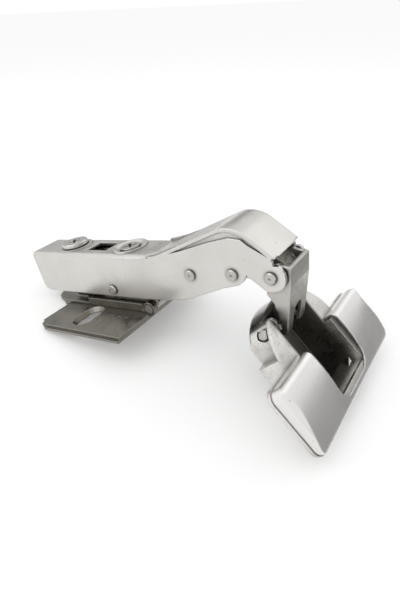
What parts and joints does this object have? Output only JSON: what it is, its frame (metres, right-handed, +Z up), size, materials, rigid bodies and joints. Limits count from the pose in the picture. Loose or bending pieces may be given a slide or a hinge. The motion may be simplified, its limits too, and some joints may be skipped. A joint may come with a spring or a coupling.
{
  "type": "concealed cabinet hinge",
  "caption": "Wide-angle concealed cabinet hinge with a clip-on channel arm, slotted mounting plate, linked arms and a round cup with a pillowed wing cover.",
  "frame": {"origin": "midway between the mounting plate's two slotted holes, on its underside", "axes": "X runs from the plate to the cup, Y along the fold axes, Z up out of the cabinet side; the picture's camera looks along +Y and down"},
  "size_m": [0.1352, 0.0626, 0.0607],
  "materials": {
    "nickel_steel": "satin nickel plate",
    "plated_pin": "nickel plate",
    "spring_steel": "dark spring steel",
    "cup_zinc": "nickel plate, lightly speckled",
    "nickel_cover": "smooth satin nickel plate"
  },
  "bodies": {
    "base": {"base_plate": "nickel_steel", "clamp_rivet": "plated_pin"},
    "saddle": {"height_saddle": "nickel_steel", "clip_carriage": "nickel_steel", "clip_axle": "plated_pin"},
    "height_cam": {"height_cam": "plated_pin"},
    "slider": {"cam_washer": "plated_pin"},
    "depth_cam": {"depth_cam": "plated_pin"},
    "arm": {"arm": "nickel_steel", "lever_pin": "plated_pin", "spring_pin": "plated_pin", "inner_link_pin": "plated_pin", "link_spacers": "nickel_steel", "outer_link_pins": "plated_pin", "closing_spring": "spring_steel", "lever_spring": "spring_steel"},
    "overlay_screw": {"overlay_screw": "plated_pin"},
    "release_lever": {"release_lever": "nickel_steel"},
    "outer_link": {"outer_link": "nickel_steel"},
    "inner_link": {"inner_link": "nickel_steel"},
    "cup": {"cup": "cup_zinc", "cup_pins": "plated_pin", "inner_cup_pin": "plated_pin", "cup_cover": "nickel_cover"}
  },
  "joints": [
    {"name": "height_slide", "type": "slide", "parent": "base", "child": "saddle", "axis": [0, 1, 0], "range_m": [-0.002, 0.002]},
    {"name": "height_screw", "type": "hinge", "parent": "saddle", "child": "height_cam", "pos_m": [0.0025, 0, 0.003], "axis": [0, 0, 1], "range_deg": [-62, 62]},
    {"name": "depth_slide", "type": "slide", "parent": "saddle", "child": "slider", "axis": [1, 0, 0], "range_m": [-0.0022, 0.0022]},
    {"name": "depth_screw", "type": "hinge", "parent": "slider", "child": "depth_cam", "pos_m": [-0.014, 0, 0.024], "axis": [0, 0, 1], "range_deg": [-60, 60]},
    {"name": "overlay_tilt", "type": "hinge", "parent": "slider", "child": "arm", "pos_m": [-0.014, 0, 0.0244], "axis": [0, 1, 0], "range_deg": [-1.2, 1.2]},
    {"name": "overlay_screw_turn", "type": "hinge", "parent": "arm", "child": "overlay_screw", "pos_m": [0.018, 0, 0.025], "axis": [0, 0, 1], "range_deg": [-242, 242]},
    {"name": "lever_pivot", "type": "hinge", "parent": "arm", "child": "release_lever", "pos_m": [0.0104, 0, 0.0105], "axis": [0, 1, 0], "range_deg": [0, 8], "stiffness_Nm_per_rad": 0.03, "springref_deg": -11.46},
    {"name": "cup_pivot", "type": "hinge", "parent": "outer_link", "child": "cup", "pos_m": [0.07665, 0, 0.00231], "axis": [0, 1, 0], "range_deg": [-121.39, 3.35]},
    {"name": "outer_link_pivot", "type": "hinge", "parent": "arm", "child": "outer_link", "pos_m": [0.0805, 0, 0.0196], "axis": [0, 1, 0], "range_deg": [-23.71, 0.75]},
    {"name": "inner_link_pivot", "type": "hinge", "parent": "arm", "child": "inner_link", "pos_m": [0.0673, 0, 0.02], "axis": [0, 1, 0], "range_deg": [-35.81, 1.09]}
  ],
  "couplings": [
    {"joint": "height_screw", "follows": "height_slide", "rad_per_m": -541},
    {"joint": "depth_screw", "follows": "depth_slide", "rad_per_m": 476},
    {"joint": "overlay_screw_turn", "follows": "overlay_tilt", "ratio": 201},
    {"joint": "outer_link_pivot", "follows": "cup_pivot", "ratio": 0.19446},
    {"joint": "inner_link_pivot", "follows": "cup_pivot", "ratio": 0.29414}
  ]
}
